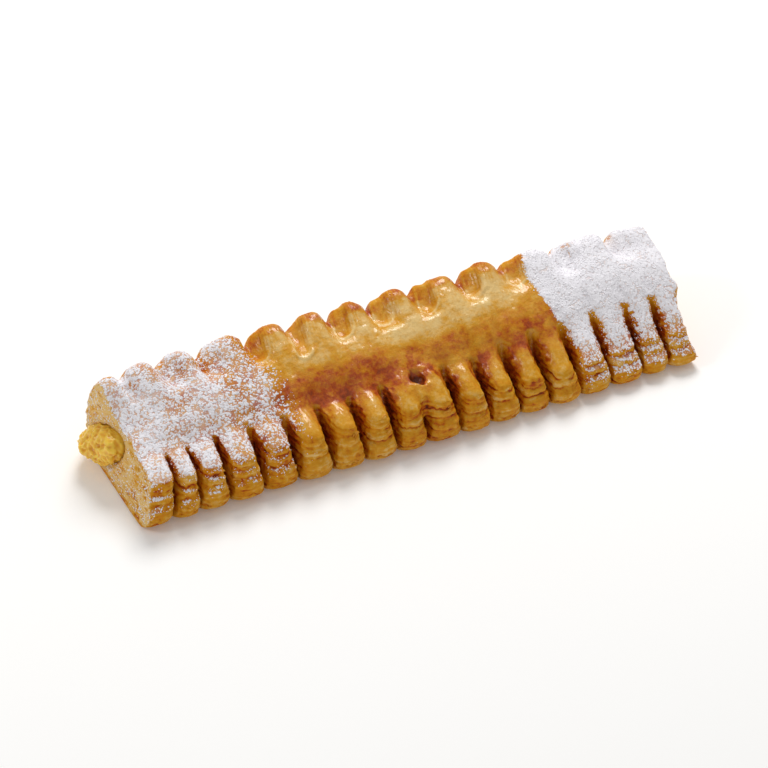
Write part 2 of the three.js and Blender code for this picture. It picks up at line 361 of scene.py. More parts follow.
class SugarLook(bpy.types.PropertyGroup):
    """Sizes and colours of the icing sugar."""

    left_reach: FloatProperty(
        name="Left reach", description="How far the sugar reaches from the left end",
        default=68 * MM, unit="LENGTH", precision=4,
    )
    right_start: FloatProperty(
        name="Right start", description="Where the sugar at the right end starts",
        default=183.5 * MM, unit="LENGTH", precision=4,
    )
    clumps: IntProperty(
        name="Clumps", description="How many clumps of sugar stand on the crust", default=9400,
    )
    clump_size: FloatProperty(
        name="Clump size", description="Width of a large clump",
        default=0.62 * MM, unit="LENGTH", precision=5,
    )
    white: FloatVectorProperty(
        name="Sugar white", description="Colour of the icing sugar",
        subtype="COLOR", size=3, min=0, max=1, default=linear("#FBF8FC"),
    )


class FlakeLook(bpy.types.PropertyGroup):
    """Sizes of the loose flakes of crust."""

    count: IntProperty(
        name="Flakes", description="How many loose flakes stand off the crust", default=150,
    )
    length: FloatProperty(
        name="Flake length", description="Length of a large flake",
        default=3.6 * MM, unit="LENGTH", precision=5,
    )
    thickness: FloatProperty(
        name="Flake thickness", description="Thickness of a flake",
        default=0.22 * MM, unit="LENGTH", precision=5,
    )


class StageLook(bpy.types.PropertyGroup):
    """Camera, floor and light."""

    turn: FloatProperty(
        name="Camera turn", description="How far the camera stands to the left of the front",
        default=math.radians(26.05), unit="ROTATION",
    )
    rise: FloatProperty(
        name="Camera rise", description="How far the camera looks down",
        default=math.radians(37.5), unit="ROTATION",
    )
    distance: FloatProperty(
        name="Camera distance", description="From the camera to the middle of the bar",
        default=1.221, unit="LENGTH",
    )
    lens: FloatProperty(
        name="Lens", description="Focal length of the camera", default=147, unit="CAMERA",
    )
    ambient: FloatProperty(
        name="Ambient", description="Strength of the even light from all sides", default=0.42,
    )
    floor_glow: FloatProperty(
        name="Floor glow", description="Light that the white floor gives by itself", default=0.08,
    )
    key: FloatProperty(
        name="Key light", description="Power of the large lamp behind the bar",
        default=15, unit="POWER",
    )


def along_across(points):
    """Places in the bar's own millimetres: along, across and up."""
    return (points - np.array(START)) / MM


def cloudy(places, size, shift=0.0):
    """Smooth noise between -1 and 1, with blobs about as large as the size in millimetres.

    The shift moves the noise, so that each use of it has a pattern of its own.
    """
    scaled = (places / size + shift).tolist()
    return np.array([noise.noise(p) for p in scaled])


def patches(places, marks):
    """How strongly a list of soft oval marks with ragged edges covers each place."""
    total = np.zeros(len(places))
    ragged = 0.45 * cloudy(places * np.array((0.5, 1.0, 1.0)), 2.6, 71.0)
    for along, across, half_long, half_wide, strength in marks:
        away = np.hypot((places[:, 0] - along) / half_long, (places[:, 1] - across) / half_wide)
        total = np.maximum(total, strength * (1 - ramp(0.1, 1.5, away + ragged)))
    return total


def read_points(mesh):
    flat = np.empty(len(mesh.vertices) * 3)
    mesh.vertices.foreach_get("co", flat)
    return flat.reshape(-1, 3)


def read_normals(mesh):
    flat = np.empty(len(mesh.vertices) * 3)
    mesh.vertex_normals.foreach_get("vector", flat)
    return flat.reshape(-1, 3)


def read_edges(mesh):
    flat = np.empty(len(mesh.edges) * 2, dtype=np.int32)
    mesh.edges.foreach_get("vertices", flat)
    return flat.reshape(-1, 2)


def write_points(mesh, points):
    mesh.vertices.foreach_set("co", points.ravel())
    mesh.update()


def write_values(mesh, name, values):
    """Stores one number for each vertex, for the material to read."""
    layer = mesh.attributes.new(name, "FLOAT", "POINT")
    layer.data.foreach_set("value", np.clip(values, 0.0, 1.0).astype(np.float32))


def spread(values, edges, passes):
    """Averages the values at the vertices with their neighbours'."""
    count = np.bincount(edges.ravel(), minlength=len(values))
    for _ in range(passes):
        total = np.bincount(edges[:, 0], values[edges[:, 1]], len(values))
        total += np.bincount(edges[:, 1], values[edges[:, 0]], len(values))
        values = 0.5 * values + 0.5 * total / np.maximum(count, 1)
    return values


def hollows(points, normals, edges):
    """How far each vertex lies below its neighbours, in millimetres; ridges are negative."""
    means = np.stack([spread(points[:, axis], edges, passes=4) for axis in range(3)], axis=1)
    return ((means - points) * normals).sum(axis=1) / MM


def new_piece(name, content):
    """Puts an object with this mesh, lamp or camera into the scene."""
    piece = bpy.data.objects.new(name, content)
    bpy.context.scene.collection.objects.link(piece)
    return piece


def node_copy(node, name):
    """A closed copy of a node of the frame, as an object of its own."""
    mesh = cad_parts[node].data.copy()
    mesh.name = name
    mesh.materials.clear()
    form = bmesh.new()
    form.from_mesh(mesh)
    bmesh.ops.remove_doubles(form, verts=form.verts, dist=0.01 * MM)
    form.to_mesh(mesh)
    form.free()
    return new_piece(name, mesh)


def settle(piece):
    """Makes the piece's modifiers part of its mesh."""
    evaluated = piece.evaluated_get(bpy.context.evaluated_depsgraph_get())
    mesh = bpy.data.meshes.new_from_object(evaluated)
    piece.modifiers.clear()
    old = piece.data
    piece.data = mesh
    mesh.name = old.name
    bpy.data.meshes.remove(old)


def reskin(piece, step, melt, soft=None, soft_melt=0):
    """Replaces the facets by a fine even skin, and melts its edges, more where it is soft."""
    remesh = piece.modifiers.new("skin", "REMESH")
    remesh.mode = "VOXEL"
    remesh.voxel_size = step
    settle(piece)
    form = bmesh.new()
    form.from_mesh(piece.data)
    everywhere = list(form.verts)
    softer = [v for v in form.verts if soft(v.co)] if soft else []
    for verts, passes in ((everywhere, melt), (softer, soft_melt)):
        for _ in range(passes):
            bmesh.ops.smooth_vert(
                form, verts=verts, factor=0.5,
                use_axis_x=True, use_axis_y=True, use_axis_z=True,
            )
    form.to_mesh(piece.data)
    form.free()


def thin_out(piece, hidden, most):
    """Leaves few faces where the piece is hidden, and then at most so many triangles in all."""
    group = piece.vertex_groups.new(name="hidden")
    group.add(np.flatnonzero(hidden).tolist(), 1.0, "REPLACE")
    first = piece.modifiers.new("thin_hidden", "DECIMATE")
    first.ratio = HIDDEN_RATIO
    first.vertex_group = group.name
    settle(piece)
    piece.vertex_groups.clear()
    triangles = sum(len(p.vertices) - 2 for p in piece.data.polygons)
    if triangles > most:
        second = piece.modifiers.new("thin", "DECIMATE")
        second.ratio = most / triangles
        settle(piece)


def emboss(mesh, relief):
    """Moves each vertex out along its normal by what the relief gives for its place."""
    points = read_points(mesh)
    normals = read_normals(mesh)
    points = points + normals * relief(along_across(points), normals)[:, None]
    points[:, 2] = np.maximum(points[:, 2], 0.0)
    write_points(mesh, points)


def shade_smooth(mesh):
    mesh.polygons.foreach_set("use_smooth", [True] * len(mesh.polygons))
    mesh.update()


def add_node(tree, kind, inputs=None, **settings):
    """Adds a node; each input takes a constant or another node's output."""
    made = tree.nodes.new(kind)
    for name, value in settings.items():
        setattr(made, name, value)
    for name, value in (inputs or {}).items():
        if isinstance(value, bpy.types.NodeSocket):
            tree.links.new(value, made.inputs[name])
        else:
            made.inputs[name].default_value = value
    return made


def new_material(name):
    material = bpy.data.materials.new(name)
    material.use_nodes = True
    material.node_tree.nodes.clear()
    return material


def finish_material(material, surface):
    tree = material.node_tree
    add_node(tree, "ShaderNodeOutputMaterial", {"Surface": surface})
    return material


def rgba(colour):
    return (*colour, 1.0)


def per(size):
    """Scale of a pattern on object coordinates for features of this size in millimetres."""
    return 1.0 / (size * MM)


def crust_material(look, sugar):
    """Puff pastry washed with egg, baked, glazed in the middle and dusted with icing sugar.

    The bake, with painted shade and sheen in it, runs from pale dough to dark crust, the glaze shines
    softly, and the sugar is matt.
    """
    material = new_material("baked_puff_pastry")
    tree = material.node_tree
    place = add_node(tree, "ShaderNodeTexCoord").outputs["Object"]
    # The bake attribute holds painted shade and painted sheen besides the browning
    bake, dusted, glaze, layered, stack = (
        add_node(tree, "ShaderNodeAttribute", attribute_name=name).outputs["Fac"]
        for name in ("bake", "sugar", "glaze", "layers", "stack")
    )

    # Uneven bake: clouds 5 mm across with freckles of 1.3 mm over them
    clouds = add_node(tree, "ShaderNodeTexNoise", {
        "Vector": place, "Scale": per(5.0), "Detail": 5.0, "Roughness": 0.6,
    })
    freckles = add_node(tree, "ShaderNodeTexNoise", {
        "Vector": place, "Scale": per(1.3), "Detail": 4.0, "Roughness": 0.75,
    })
    cloud_part = add_node(tree, "ShaderNodeMath", {0: clouds.outputs["Fac"], 1: 0.85, 2: -0.425},
                          operation="MULTIPLY_ADD")
    freckle_part = add_node(tree, "ShaderNodeMath", {0: freckles.outputs["Fac"], 1: 0.46, 2: -0.23},
                            operation="MULTIPLY_ADD")

    # Layers of dough about 1 mm apart where the cut dough shows
    split = add_node(tree, "ShaderNodeSeparateXYZ", {"Vector": place})
    drawn_x = add_node(tree, "ShaderNodeMath", {0: split.outputs["X"], 1: 0.1}, operation="MULTIPLY")
    drawn_y = add_node(tree, "ShaderNodeMath", {0: split.outputs["Y"], 1: 0.1}, operation="MULTIPLY")
    stack_metres = add_node(tree, "ShaderNodeMath", {0: stack, 1: STACK_FULL * MM}, operation="MULTIPLY")
    sheet_place = add_node(tree, "ShaderNodeCombineXYZ", {
        "X": drawn_x.outputs[0], "Y": drawn_y.outputs[0], "Z": stack_metres.outputs[0],
    })
    layer_lines = add_node(tree, "ShaderNodeTexNoise", {
        "Vector": sheet_place.outputs["Vector"], "Scale": per(1.1), "Detail": 2.0, "Roughness": 0.6,
    })
    line_part = add_node(tree, "ShaderNodeMath", {0: layer_lines.outputs["Fac"], 1: 1.5, 2: -0.75},
                         operation="MULTIPLY_ADD")
    line_shown = add_node(tree, "ShaderNodeMath", {0: line_part.outputs[0], 1: layered},
                          operation="MULTIPLY")
    uneven = add_node(tree, "ShaderNodeMath", {0: cloud_part.outputs[0], 1: freckle_part.outputs[0]},
                      operation="ADD")
    with_lines = add_node(tree, "ShaderNodeMath", {0: uneven.outputs[0], 1: line_shown.outputs[0]},
                          operation="ADD")
    baked = add_node(tree, "ShaderNodeMath", {0: with_lines.outputs[0], 1: bake}, operation="ADD")
    shades = add_node(tree, "ShaderNodeValToRGB", {"Fac": baked.outputs[0]})
    stops = shades.color_ramp.elements
    stops[0].position = 0.0
    stops[0].color = rgba(look.dough)
    stops[1].position = 1.0
    stops[1].color = rgba(look.dark)
    for position, colour in ((0.3, look.gold), (0.52, look.amber), (0.74, look.chestnut)):
        stop = stops.new(position)
        stop.color = rgba(colour)

    # Dusting of icing sugar. Its own grains are too fine to show, so they are drawn 1.3 and 0.75 mm
    # wide, and they close up where it lies thick.
    grains_large = add_node(tree, "ShaderNodeTexVoronoi", {"Vector": place, "Scale": per(1.3)})
    grains_small = add_node(tree, "ShaderNodeTexVoronoi", {"Vector": place, "Scale": per(0.75)})
    between = add_node(tree, "ShaderNodeMix", {
        "Factor": 0.5, "A": grains_large.outputs["Distance"], "B": grains_small.outputs["Distance"],
    }, data_type="FLOAT")
    drift = add_node(tree, "ShaderNodeTexNoise", {"Vector": place, "Scale": per(4.0), "Detail": 3.0})
    drift_part = add_node(tree, "ShaderNodeMath", {0: drift.outputs["Fac"], 1: 0.6, 2: -0.09},
                          operation="MULTIPLY_ADD")
    lying = add_node(tree, "ShaderNodeMath", {0: dusted, 1: 0.56, 2: drift_part.outputs[0]},
                     operation="MULTIPLY_ADD")
    heaped = add_node(tree, "ShaderNodeMath", {0: lying.outputs[0], 1: between.outputs["Result"]},
                      operation="SUBTRACT")
    shown = add_node(tree, "ShaderNodeMapRange", {
        "Value": heaped.outputs[0], "From Min": -0.03, "From Max": 0.06,
    }, interpolation_type="SMOOTHSTEP")
    thickness = add_node(tree, "ShaderNodeMapRange", {
        "Value": heaped.outputs[0], "From Min": -0.03, "From Max": 0.2,
    })
    any_sugar = add_node(tree, "ShaderNodeMapRange", {
        "Value": dusted, "From Min": 0.02, "From Max": 0.2,
    }, interpolation_type="SMOOTHSTEP")
    mask = add_node(tree, "ShaderNodeMath", {0: shown.outputs["Result"], 1: any_sugar.outputs["Result"]},
                    operation="MULTIPLY").outputs[0]
    # A thin film of sugar lies between the specks too
    film = add_node(tree, "ShaderNodeMapRange", {
        "Value": dusted, "From Min": 0.4, "From Max": 1.0, "To Max": 0.8,
    }, interpolation_type="SMOOTHSTEP")
    filmed = add_node(tree, "ShaderNodeMix", {
        "Factor": film.outputs["Result"], "A": shades.outputs["Color"], "B": rgba(sugar.white),
    }, data_type="RGBA")
    dust = add_node(tree, "ShaderNodeMix", {
        "Factor": mask, "A": filmed.outputs["Result"], "B": rgba(sugar.white),
    }, data_type="RGBA")

    # Glazed crust is smoother than bare crust, and sugar is matt
    bare = add_node(tree, "ShaderNodeMapRange", {
        "Value": glaze, "To Min": 0.52, "To Max": 0.3,
    })
    rough = add_node(tree, "ShaderNodeMix", {
        "Factor": mask, "A": bare.outputs["Result"], "B": 0.92,
    }, data_type="FLOAT")
    open_glaze = add_node(tree, "ShaderNodeMath", {0: 1.0, 1: mask}, operation="SUBTRACT")
    coat = add_node(tree, "ShaderNodeMath", {0: glaze, 1: open_glaze.outputs[0]}, operation="MULTIPLY")

    # Fine relief: crumb of the crust, edges of the layers, grains of sugar
    crumb = add_node(tree, "ShaderNodeBump", {
        "Height": freckles.outputs["Fac"], "Distance": 0.7 * MM, "Strength": 0.75,
    })
    edges = add_node(tree, "ShaderNodeMath", {0: layer_lines.outputs["Fac"], 1: layered},
                     operation="MULTIPLY")
    sheets = add_node(tree, "ShaderNodeBump", {
        "Height": edges.outputs[0], "Distance": 0.5 * MM, "Strength": 0.8,
        "Normal": crumb.outputs["Normal"],
    })
    powder = add_node(tree, "ShaderNodeMath", {0: mask, 1: thickness.outputs["Result"]},
                      operation="MULTIPLY")
    grains = add_node(tree, "ShaderNodeBump", {
        "Height": powder.outputs[0], "Distance": 0.4 * MM, "Strength": 0.7,
        "Normal": sheets.outputs["Normal"],
    })
    # The glaze set in ripples 3 mm wide that run from the fold to the teeth
    flowing = add_node(tree, "ShaderNodeMapping", {"Vector": place, "Scale": (1.0, 0.45, 1.0)})
    rippled = add_node(tree, "ShaderNodeTexNoise", {
        "Vector": flowing.outputs["Vector"], "Scale": per(3.0), "Detail": 2.0,
    })
    ripples = add_node(tree, "ShaderNodeBump", {
        "Height": rippled.outputs["Fac"], "Distance": 1.0 * MM, "Strength": 0.8,
    })
    shader = add_node(tree, "ShaderNodeBsdfPrincipled", {
        "Base Color": dust.outputs["Result"],
        "Roughness": rough.outputs["Result"],
        "IOR": 1.47,
        "Specular IOR Level": 0.14,
        "Coat Weight": coat.outputs[0],
        "Coat Roughness": 0.2,
        "Coat IOR": 1.45,
        "Coat Normal": ripples.outputs["Normal"],
        "Normal": grains.outputs["Normal"],
    })
    return finish_material(material, shader.outputs["BSDF"])


def custard_material(look):
    """Set pastry cream: glossy and lumpy, with painted shade that makes it deeper yellow in its hollows
    and paler on its ridges.
    """
    material = new_material("set_pastry_cream")
    tree = material.node_tree
    place = add_node(tree, "ShaderNodeTexCoord").outputs["Object"]
    hollow_for_shade = add_node(tree, "ShaderNodeAttribute", attribute_name="hollow_for_shade").outputs["Fac"]
    swirls = add_node(tree, "ShaderNodeTexNoise", {"Vector": place, "Scale": per(2.6), "Detail": 2.0})
    deep = add_node(tree, "ShaderNodeMath", {0: swirls.outputs["Fac"], 1: 0.8, 2: -0.4},
                    operation="MULTIPLY_ADD")
    # Painted shade: deeper yolk in the hollows, paler cream on the ridges
    mixed = add_node(tree, "ShaderNodeMath", {0: hollow_for_shade, 1: deep.outputs[0]}, operation="ADD")
    colour = add_node(tree, "ShaderNodeMix", {
        "Factor": mixed.outputs[0], "A": rgba(look.cream), "B": rgba(look.yolk),
    }, data_type="RGBA")
    fine = add_node(tree, "ShaderNodeTexNoise", {"Vector": place, "Scale": per(1.1), "Detail": 2.0})
    bump = add_node(tree, "ShaderNodeBump", {
        "Height": fine.outputs["Fac"], "Distance": 0.35 * MM, "Strength": 0.6,
    })
    shader = add_node(tree, "ShaderNodeBsdfPrincipled", {
        "Base Color": colour.outputs["Result"],
        "Roughness": 0.2,
        "IOR": 1.45,
        "Subsurface Weight": 0.15,
        "Subsurface Radius": (1.0, 0.55, 0.15),
        "Subsurface Scale": 1.6 * MM,
        "Normal": bump.outputs["Normal"],
    })
    return finish_material(material, shader.outputs["BSDF"])


def sugar_material(look):
    """Icing sugar: a matt powder of fine white grains that scatters all light."""
    material = new_material("icing_sugar_powder")
    tree = material.node_tree
    shader = add_node(tree, "ShaderNodeBsdfPrincipled", {
        "Base Color": rgba(look.white), "Roughness": 0.95, "IOR": 1.5,
    })
    return finish_material(material, shader.outputs["BSDF"])


def flake_material(look):
    """A single sheet of baked dough: thin, dry and golden, browner in freckles."""
    material = new_material("puff_pastry_flake")
    tree = material.node_tree
    place = add_node(tree, "ShaderNodeTexCoord").outputs["Object"]
    freckles = add_node(tree, "ShaderNodeTexNoise", {"Vector": place, "Scale": per(2.2), "Detail": 3.0})
    colour = add_node(tree, "ShaderNodeMix", {
        "Factor": freckles.outputs["Fac"], "A": rgba(look.gold), "B": rgba(look.amber),
    }, data_type="RGBA")
    bump = add_node(tree, "ShaderNodeBump", {
        "Height": freckles.outputs["Fac"], "Distance": 0.2 * MM, "Strength": 0.5,
    })
    shader = add_node(tree, "ShaderNodeBsdfPrincipled", {
        "Base Color": colour.outputs["Result"], "Roughness": 0.5, "IOR": 1.47,
        "Normal": bump.outputs["Normal"],
    })
    return finish_material(material, shader.outputs["BSDF"])


def dome(rays, lowest):
    """Directions spread evenly over the part of a dome that is higher than the lowest share."""
    turn = math.pi * (3 - math.sqrt(5))
    directions = []
    for i in range(rays):
        height = lowest + (1 - lowest) * (i + 0.5) / rays
        flat = math.sqrt(1 - height * height)
        directions.append(Vector((flat * math.cos(i * turn), flat * math.sin(i * turn), height)))
    return directions


def openness(mesh, points, normals, edges):
    """Shares of open directions: round each vertex's normal, and within a narrow cone straight up.

    One vertex in OPEN_STEP is tested, and the others take their neighbours' values.
    """
    tree = BVHTree.FromPolygons(points.tolist(), [tuple(p.vertices) for p in mesh.polygons])
    around = dome(rays=8, lowest=0.1)
    sky = dome(rays=4, lowest=0.82)
    up = Vector((0, 0, 1))
    known = np.zeros(len(points))
    known[::OPEN_STEP] = 1.0
    shares = np.zeros((2, len(points)))
    starts = points + normals * OPEN_LIFT * MM
    for i in range(0, len(points), OPEN_STEP):
        start = Vector(starts[i])
        turned = up.rotation_difference(Vector(normals[i]))
        clear = sum(tree.ray_cast(start, turned @ d, OPEN_REACH)[0] is None for d in around)
        seen = sum(tree.ray_cast(start, d, OPEN_REACH)[0] is None for d in sky)
        shares[:, i] = clear / len(around), seen / len(sky)
    weight = spread(known, edges, OPEN_BLEND)
    return [spread(share, edges, OPEN_BLEND) / np.maximum(weight, 1e-6) for share in shares]


def uneven(number, kind):
    """A fixed uneven number between -1 and 1 for each tooth, the same as the solid's."""
    s = np.sin(number * 12.9898 + kind * 78.233) * 43758.5453
    return 2.0 * (s - np.floor(s)) - 1.0


def edge_height(along):
    """Thickness of the toothed edge."""
    return EDGE_LEFT + (EDGE_RIGHT - EDGE_LEFT) * ramp(90, 205, along)


def near_end(along):
    """1 at the cut ends, falling to 0 a little way in."""
    return 1 - ramp(*END_FADE, np.minimum(along, BAR_LENGTH - along))


def left_cut(places, normals):
    """1 on the left cut end, and 0 elsewhere."""
    return ramp(0.6, 0.85, -normals[:, 0]) * (1 - ramp(*END_FADE, places[:, 0]))


def upright(normals):
    """1 where the surface stands upright, and 0 where it lies flat."""
    return 1 - ramp(0.35, 0.75, np.abs(normals[:, 2]))


def tip_front(places, normals):
    """1 on the front of a tooth's tip, and 0 elsewhere."""
    return (1 - ramp(*TIP_FADE, places[:, 1])) * (1 - ramp(0.6, 0.9, normals[:, 2]))


def seam_lines(places):
    """How near each place is to the seams of its tooth's tip, from 0 to 1, and its share of the height."""
    along, _, up = places.T
    tooth = np.searchsorted(SLITS, along)
    share = up / edge_height(along)
    wave = 0.9 * cloudy(places, 3.6, 13.0) + 0.4 * cloudy(places, 1.4, 17.0)
    near = np.zeros(len(places))
    for number, seam in enumerate(TIP_SEAMS):
        level = (seam + SEAM_WANDER * uneven(tooth, 7)) * edge_height(along) + wave
        wide = 0.42 + 0.15 * uneven(tooth, 20 + number)
        near = np.maximum(near, bell(up - level, wide) * (0.7 + 0.3 * uneven(tooth, 30 + number)))
    scorch_line = (SCORCH_SHARE + 0.05 * uneven(tooth, 40)) * edge_height(along) + 2.2 * wave
    scorched = 0.8 * bell(up - scorch_line, 0.45) * ramp(-0.15, 0.2, cloudy(places, 4.0, 3.0))
    broken = 0.3 + 0.7 * ramp(-0.3, 0.2, cloudy(places, 3.5, 37.0))
    return np.maximum(near * broken, scorched), share


def scoop_fields(places):
    """For the scoops of the fold: how deep inside, how near the rim, and how far to the side in mm."""
    along, across, up = places.T
    inside = np.zeros(len(places))
    rim = np.zeros(len(places))
    beside = np.zeros(len(places))
    on_fold = ramp(*FOLD_TOP, up)
    for middle, front, half, strength in SCOOPS:
        side = along - middle - SCOOP_SLANT * (across - SCOOP_MIDDLE)
        ahead = np.minimum(across - front - half, 0.0)
        away = np.hypot(side, ahead) - half
        open_end = 1 - ramp(46, 50, across)
        inside = np.maximum(inside, strength * ramp(-0.3, -half * 0.8, away) * on_fold)
        left_or_front = 1 - 0.75 * ramp(0.0, half * 0.7, side) * ramp(front, front + 4, across)
        rim = np.maximum(rim, strength * bell(away - 0.35, 0.6) * left_or_front * on_fold * open_end)
        beside = np.where(np.abs(side) < half + 4.5, side, beside)
    return inside, rim, beside


def flap_fields(places):
    """How near each place is to the ring of the flap that joins two teeth, and to its hole."""
    along, across, up = places.T
    warp = 0.9 * cloudy(places, 3.0, 91.0)
    away = np.hypot(along - HOLE_ALONG, 0.85 * (across - HOLE_ACROSS)) + warp
    on_top = ramp(11, 14, up)
    arch = ramp(HOLE_ACROSS - 5, HOLE_ACROSS + 1, across) * (0.6 + 0.6 * cloudy(places, 4.0, 97.0))
    return bell(away - RING_HALF, 1.9) * on_top * arch, (1 - ramp(1.0, HOLE_HALF, away)) * on_top


def crust_relief(places, normals, look):
    """How far the baked skin stands out from the melted solid, in metres."""
    along, across, up = places.T
    top = ramp(0.25, 0.7, normals[:, 2])
    side = upright(normals)
    end = ramp(0.6, 0.85, np.abs(normals[:, 0])) * near_end(along)

    blisters = cloudy(places, 7.5) + 0.6 * cloudy(places, 3.4, 7.0) + 0.35 * cloudy(places, 1.6, 3.0)
    relief = look.blister * (0.5 + 0.5 * top) * blisters

    # Wrinkles that run along the bar on its slope
    drawn = places * np.array((0.28, 1.0, 1.0))
    wrinkles = 1 - np.abs(cloudy(drawn, 2.6, 31.0))
    glazed = ramp(66, 74, along) * (1 - ramp(180, 185, along))
    slope = ramp(14, 20, across) * (1 - ramp(34, 40, across))
    relief += WRINKLE * MM * (wrinkles ** 5 - 0.35) * top * slope * glazed

    # The flap rises round its hole
    ring, hole = flap_fields(places)
    relief += MM * (FLAP_RISE * ring - HOLE_DEPTH * hole)

    # Fine flaking on the cut ends and on the walls of the teeth
    flaking = cloudy(places * np.array((0.3, 0.4, 1.0)), 1.25, 23.0)
    walls = side * (1 - ramp(TOOTH_DEPTH - 2, TOOTH_DEPTH + 4, across))
    relief += look.layer_depth * flaking * np.maximum(1.3 * end, 1.1 * walls)
    relief += WALL_LUMP * MM * cloudy(places, 2.1, 43.0) * walls

    # Seams are cut in between the tiers of the tips
    seams, _ = seam_lines(places)
    relief -= SEAM_DEPTH * MM * seams * tip_front(places, normals)

    # Each lobe of the fold rises from its crease to the next
    lobe = np.clip(np.searchsorted(CREASES, along) - 1, 0, len(CREASES) - 2)
    starts = np.array(CREASES)
    phase = np.clip((along - starts[lobe]) / (starts[lobe + 1] - starts[lobe]), 0, 1)
    rise = ramp(0.05, 0.75, phase) * (1 - ramp(0.86, 1.0, phase)) - 0.4
    relief += LOBE_RISE * MM * rise * ramp(38, 46, across) * ramp(15, 28, up) * ramp(20, 40, along)

    # The scoops sink in, with a thin rim round their left side and front and stripes to their right
    inside, rim, beside = scoop_fields(places)
    relief += MM * (RIM_HEIGHT * rim - SCOOP_DEPTH * inside)
    wave = np.sin(2 * math.pi * beside / STRIPE_PITCH)
    stripes = wave * ramp(0.2, 1.0, beside) * (1 - ramp(6, 8, beside))
    waver = 0.5 + 0.5 * cloudy(places, 4.0, 61.0)
    relief += STRIPE_HEIGHT * MM * stripes * waver * ramp(*FOLD_TOP, up) * ramp(33, 37, across)
    return relief


def bake_of(places, normals, open_share, hollow_for_shade):
    """How strongly each place is browned, with painted shade and sheen added: 0 is pale dough, 1 is dark
    crust.
    """
    along, across, up = places.T
    side = 1 - ramp(0.3, 0.7, normals[:, 2])
    red = patches(places, RED_PATCHES)
    pale = patches(places, PALE_AND_SHEEN_PATCHES)
    tooth = 1 - ramp(TOOTH_DEPTH - 4, TOOTH_DEPTH + 4, across)
    tip = tip_front(places, normals)
    cut = left_cut(places, normals)
    cap_line = CAP_ACROSS + 1.8 * cloudy(places, 5.0, 51.0)
    cap = ramp(cap_line, cap_line + 0.8, across) * ramp(8, 20, up)
    flat = bell(across - FLAT_ACROSS, 3.5) * ramp(24, 30, up)
    ring, hole = flap_fields(places)
    # Painted shade on the side walls of the slits
    slit_wall_shade = ramp(0.45, 0.85, np.abs(normals[:, 0])) * ramp(2.5, 6.0, across)
    inside, rim, _ = scoop_fields(places)
    seams, share = seam_lines(places)

    # The top: caps of the fold, the band behind the teeth, baking marks, pale spots and a strip that are
    # partly painted sheen, and the flap with painted shade in its hole
    sugared = np.maximum(1 - ramp(60, 72, along), ramp(*GLAZE_RIGHT, along))
    on_tooth = np.searchsorted(SLITS, along)
    bake = BROWN_PLAIN + BROWN_CLOUDS * cloudy(places, 14.0, 4.0)
    bake += BROWN_CAP * cap * (1 - 0.8 * inside) * (1 - sugared)
    # Pale strip: partly paler bake, partly painted sheen
    bake -= PALE_AND_SHEEN_STRIP * flat * (1 - inside) * (1 - sugared)
    bake += BROWN_BAND * bell(across - BAND_ACROSS, 6.0) * (1 - side) * (1 - sugared)
    bake += BROWN_UNDER_SUGAR * sugared * ramp(0.3, 0.7, normals[:, 2])
    # The flap's hole gets painted shade
    bake += (BROWN_RED * red * (1 - side) - PALE_AND_SHEEN_SPOT * pale * (1 - side) + BROWN_FLAP * ring
             + SHADE_IN_HOLE * hole)
    bake = np.minimum(bake, BROWN_MOST_ON_TOP)

    # Painted shade in corners, on the walls of the slits and in hollows, painted highlight on the scoops'
    # rims, then the teeth, and the pale cut end with its dark foot
    bake += SHADE_IN_CORNERS * (1 - ramp(0.2, 0.7, open_share)) * (1 - cut)
    bake += SHADE_ON_SLIT_WALLS * slit_wall_shade * tooth * (1 - cut)
    # Painted highlight on the scoops' rims
    bake -= HIGHLIGHT_ON_RIMS * rim
    # Painted shade in hollows, slightly lighter on ridges
    bake += np.clip(hollow_for_shade, -0.1, 0.25) * SHADE_IN_HOLLOWS
    bake += (BROWN_TOOTH + BROWN_TOOTH_VARIES * uneven(on_tooth, 50)) * tooth * side
    bake += BROWN_SHOULDER * tooth * bell(normals[:, 2] - 0.55, 0.3) * (1 - sugared)
    bake += BROWN_SEAM * seams * tip * (1 - cut)
    bake -= PALE_TIER * tip * bell(share - MIDDLE_TIER, 0.08)
    bake -= PALE_CUT * cut
    bake += BROWN_FOOT * cut * (1 - ramp(1.0, 2.5, up))
    return bake


def from_custard(places):
    """Distance from the custard's middle line as a share of its size: 1 at its skin."""
    across, up = places[:, 1] - CUSTARD_ACROSS, places[:, 2] - CUSTARD_UP
    long = across * math.cos(CUSTARD_TILT) + up * math.sin(CUSTARD_TILT)
    short = up * math.cos(CUSTARD_TILT) - across * math.sin(CUSTARD_TILT)
    return np.hypot(long / CUSTARD_HALF_LONG, short / CUSTARD_HALF_SHORT)


def stack_height(places):
    """Height in the stack of dough sheets: level near the teeth, and arched over the custard."""
    _, across, up = places.T
    arch = np.hypot(0.85 * (across - CUSTARD_ACROSS), np.maximum(up - CUSTARD_UP, 0.0)) + CUSTARD_UP
    over = ramp(24, 34, across) * ramp(CUSTARD_UP - 2, CUSTARD_UP + 4, up)
    return up * (1 - over) + arch * over


